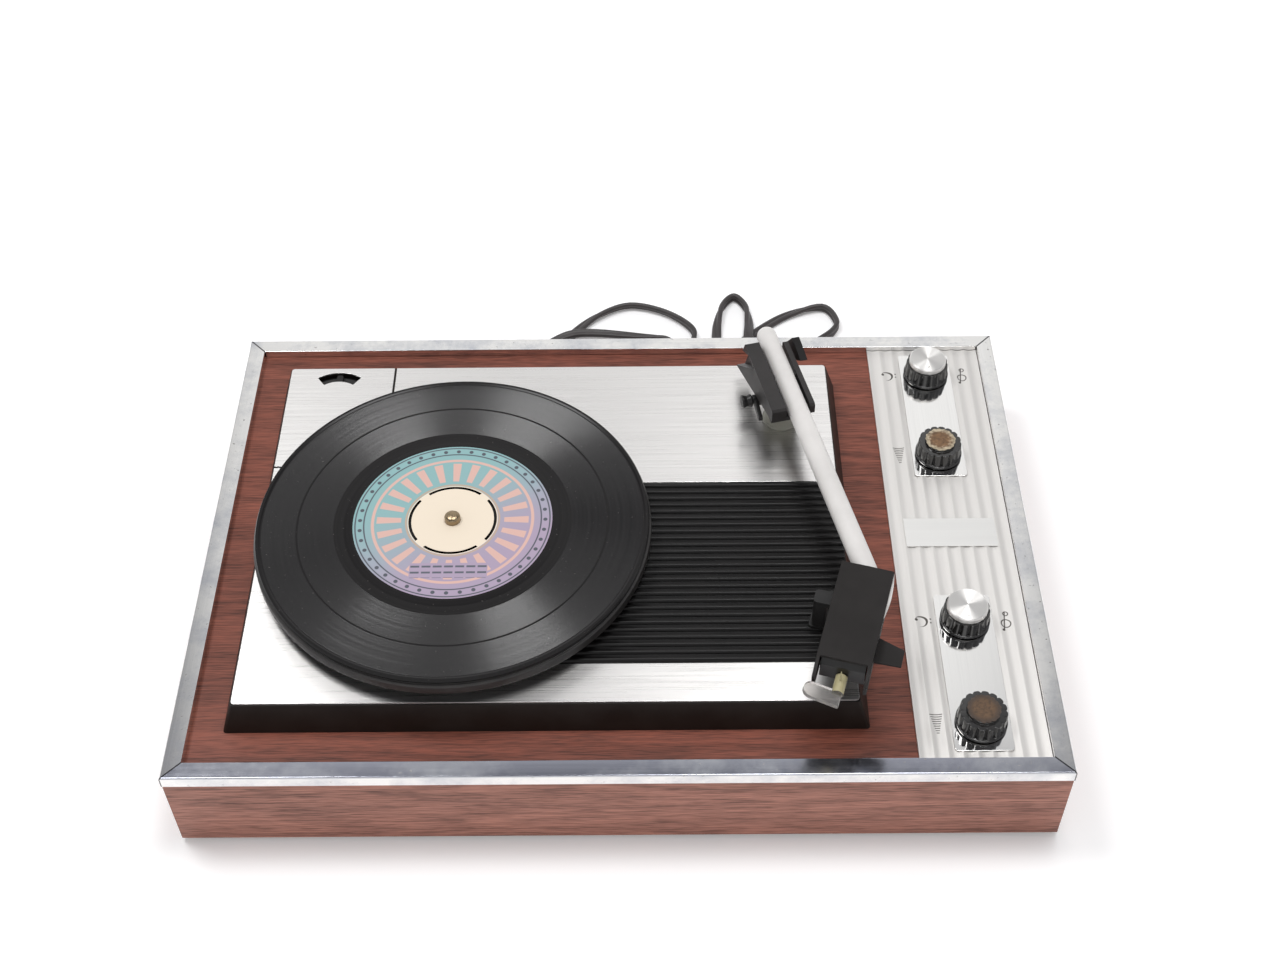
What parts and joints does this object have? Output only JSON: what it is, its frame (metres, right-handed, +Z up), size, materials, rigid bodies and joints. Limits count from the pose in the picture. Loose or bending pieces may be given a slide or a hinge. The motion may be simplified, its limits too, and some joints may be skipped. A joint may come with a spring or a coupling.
{
  "type": "record player",
  "caption": "Table record player: wood-grain cabinet with metal trim, idler-drive turntable carrying a single, pivoted tonearm, fluted control panel with knobs, mains cord.",
  "frame": {"origin": "middle of the cabinet's footprint, on the table under the feet", "axes": "+X to the player's right (the control side), +Y to the back, +Z up"},
  "size_m": [0.378, 0.3444, 0.0958],
  "materials": {
    "veneer": "satin wood-grain foil",
    "board_veneer": "satin wood-grain foil",
    "hardboard": "raw hardboard",
    "foot_rubber": "matte",
    "zinc": "zinc plated",
    "trim_metal": "polished",
    "tray_paint": "satin",
    "deck_metal": "brushed",
    "insert_plastic": "satin",
    "bush_bronze": "turned",
    "stampings": "oiled",
    "winding_tape": "taped winding",
    "zinc_sheet": "zinc plated",
    "grommet_rubber": "matte",
    "column_paint": "satin",
    "black_plastic": "satin",
    "panel_metal": "satin fluted",
    "flat_metal": "brushed",
    "pot_metal": "plain",
    "laminate": "phenolic laminate",
    "can_sleeve": "sleeved can",
    "sink_metal": "plain",
    "socket_plastic": "plain",
    "cord_rubber": "satin",
    "relief_rubber": "matte",
    "plug_plastic": "satin",
    "platter_paint": "satin",
    "mat_rubber": "matte",
    "spindle_brass": "polished",
    "vinyl": "grooved",
    "label_paper": "printed paper",
    "rotor_metal": "turned",
    "idler_rubber": "ground",
    "yoke_plastic": "satin",
    "pin_steel": "ground",
    "tube_paint": "satin",
    "weight_iron": "raw",
    "head_plastic": "satin",
    "cartridge_plastic": "plain",
    "stylus_plastic": "cream moulding",
    "knob_plastic": "satin",
    "cap_metal": "spun"
  },
  "bodies": {
    "cabinet": {"wall_front": "veneer", "wall_rear": "veneer", "wall_left": "veneer", "wall_right": "veneer", "base_board": "hardboard", "rubber_feet": "foot_rubber", "base_screws": "zinc", "top_board": "board_veneer", "trim_front": "trim_metal", "trim_rear": "trim_metal", "trim_left": "trim_metal", "trim_right": "trim_metal", "deck_tray": "tray_paint", "deck_plate": "deck_metal", "front_plate": "deck_metal", "corner_plate": "deck_metal", "ribbed_insert": "insert_plastic", "bearing_bush": "bush_bronze", "motor_stator": "stampings", "motor_coil": "winding_tape", "motor_plates": "zinc_sheet", "motor_grommets": "grommet_rubber", "arm_column": "column_paint", "arm_rest": "black_plastic", "control_panel": "panel_metal", "knob_plates": "flat_metal", "potentiometers": "pot_metal", "amp_board": "laminate", "capacitors": "can_sleeve", "heat_sink": "sink_metal", "transformer": "stampings", "speaker_sockets": "socket_plastic", "strain_relief": "relief_rubber", "mains_cord": "cord_rubber", "cord_hank": "cord_rubber", "cord_tie": "relief_rubber", "mains_plug": "plug_plastic"},
    "turntable": {"platter": "platter_paint", "platter_mat": "mat_rubber", "spindle": "spindle_brass", "record_disc": "vinyl", "record_label": "label_paper"},
    "rotor": {"motor_rotor": "rotor_metal"},
    "idler_lever": {"idler_arm": "zinc_sheet"},
    "idler": {"idler_wheel": "idler_rubber"},
    "dial": {"speed_dial": "black_plastic"},
    "yoke": {"arm_yoke": "yoke_plastic", "arm_pin": "pin_steel"},
    "arm": {"arm_tube": "tube_paint", "arm_weight": "weight_iron", "headshell": "head_plastic", "cartridge": "cartridge_plastic"},
    "stylus": {"stylus_lever": "stylus_plastic"},
    "cue": {"cue_lever": "black_plastic"},
    "tone_rear": {"tone_knob_rear": "knob_plastic", "tone_cap_rear": "cap_metal"},
    "volume_rear": {"volume_knob_rear": "knob_plastic"},
    "tone_front": {"tone_knob_front": "knob_plastic", "tone_cap_front": "cap_metal"},
    "volume_front": {"volume_knob_front": "knob_plastic"}
  },
  "joints": [
    {"name": "platter_spin", "type": "hinge", "parent": "cabinet", "child": "turntable", "pos_m": [-0.0734, -0.0142, 0.062], "axis": [0, 0, 1], "continuous": true},
    {"name": "motor_spin", "type": "hinge", "parent": "cabinet", "child": "rotor", "pos_m": [-0.06304, 0.02967, 0.062], "axis": [0, 0, 1], "continuous": true},
    {"name": "idler_swing", "type": "hinge", "parent": "cabinet", "child": "idler_lever", "pos_m": [-0.05924, 0.00914, 0.062], "axis": [0, 0, 1], "range_deg": [0, 4]},
    {"name": "idler_spin", "type": "hinge", "parent": "idler_lever", "child": "idler", "pos_m": [-0.08238, 0.03671, 0.062], "axis": [0, 0, 1], "continuous": true},
    {"name": "speed_select", "type": "hinge", "parent": "cabinet", "child": "dial", "pos_m": [-0.1375, 0.076, 0.057], "axis": [0, 0, 1], "range_deg": [-22, 22]},
    {"name": "arm_swing", "type": "hinge", "parent": "cabinet", "child": "yoke", "pos_m": [0.0773, 0.061, 0.074], "axis": [0, 0, -1], "range_deg": [0, 52]},
    {"name": "arm_lift", "type": "hinge", "parent": "yoke", "child": "arm", "pos_m": [0.0773, 0.061, 0.09], "axis": [-0.9724, -0.2334, 0], "range_deg": [0, 14]},
    {"name": "stylus_flip", "type": "hinge", "parent": "arm", "child": "stylus", "pos_m": [0.0903, -0.10986, 0.08495], "axis": [0.279, 0.9603, 0], "range_deg": [0, 180]},
    {"name": "cue_turn", "type": "hinge", "parent": "yoke", "child": "cue", "pos_m": [0.0773, 0.061, 0.0779], "axis": [0.9724, 0.2334, 0], "range_deg": [0, 40]},
    {"name": "tone_rear_turn", "type": "hinge", "parent": "cabinet", "child": "tone_rear", "pos_m": [0.1531, 0.104, 0.0483], "axis": [0, 0, 1], "range_deg": [-150, 150]},
    {"name": "volume_rear_turn", "type": "hinge", "parent": "cabinet", "child": "volume_rear", "pos_m": [0.1531, 0.05, 0.0483], "axis": [0, 0, 1], "range_deg": [-150, 150]},
    {"name": "tone_front_turn", "type": "hinge", "parent": "cabinet", "child": "tone_front", "pos_m": [0.1531, -0.05, 0.0483], "axis": [0, 0, 1], "range_deg": [-150, 150]},
    {"name": "volume_front_turn", "type": "hinge", "parent": "cabinet", "child": "volume_front", "pos_m": [0.1531, -0.104, 0.0483], "axis": [0, 0, 1], "range_deg": [-150, 150]}
  ],
  "couplings": [
    {"joint": "motor_spin", "follows": "platter_spin", "ratio": -30.667},
    {"joint": "idler_spin", "follows": "platter_spin", "ratio": 3.8889},
    {"joint": "cue_turn", "follows": "arm_lift", "ratio": 2.8571}
  ]
}
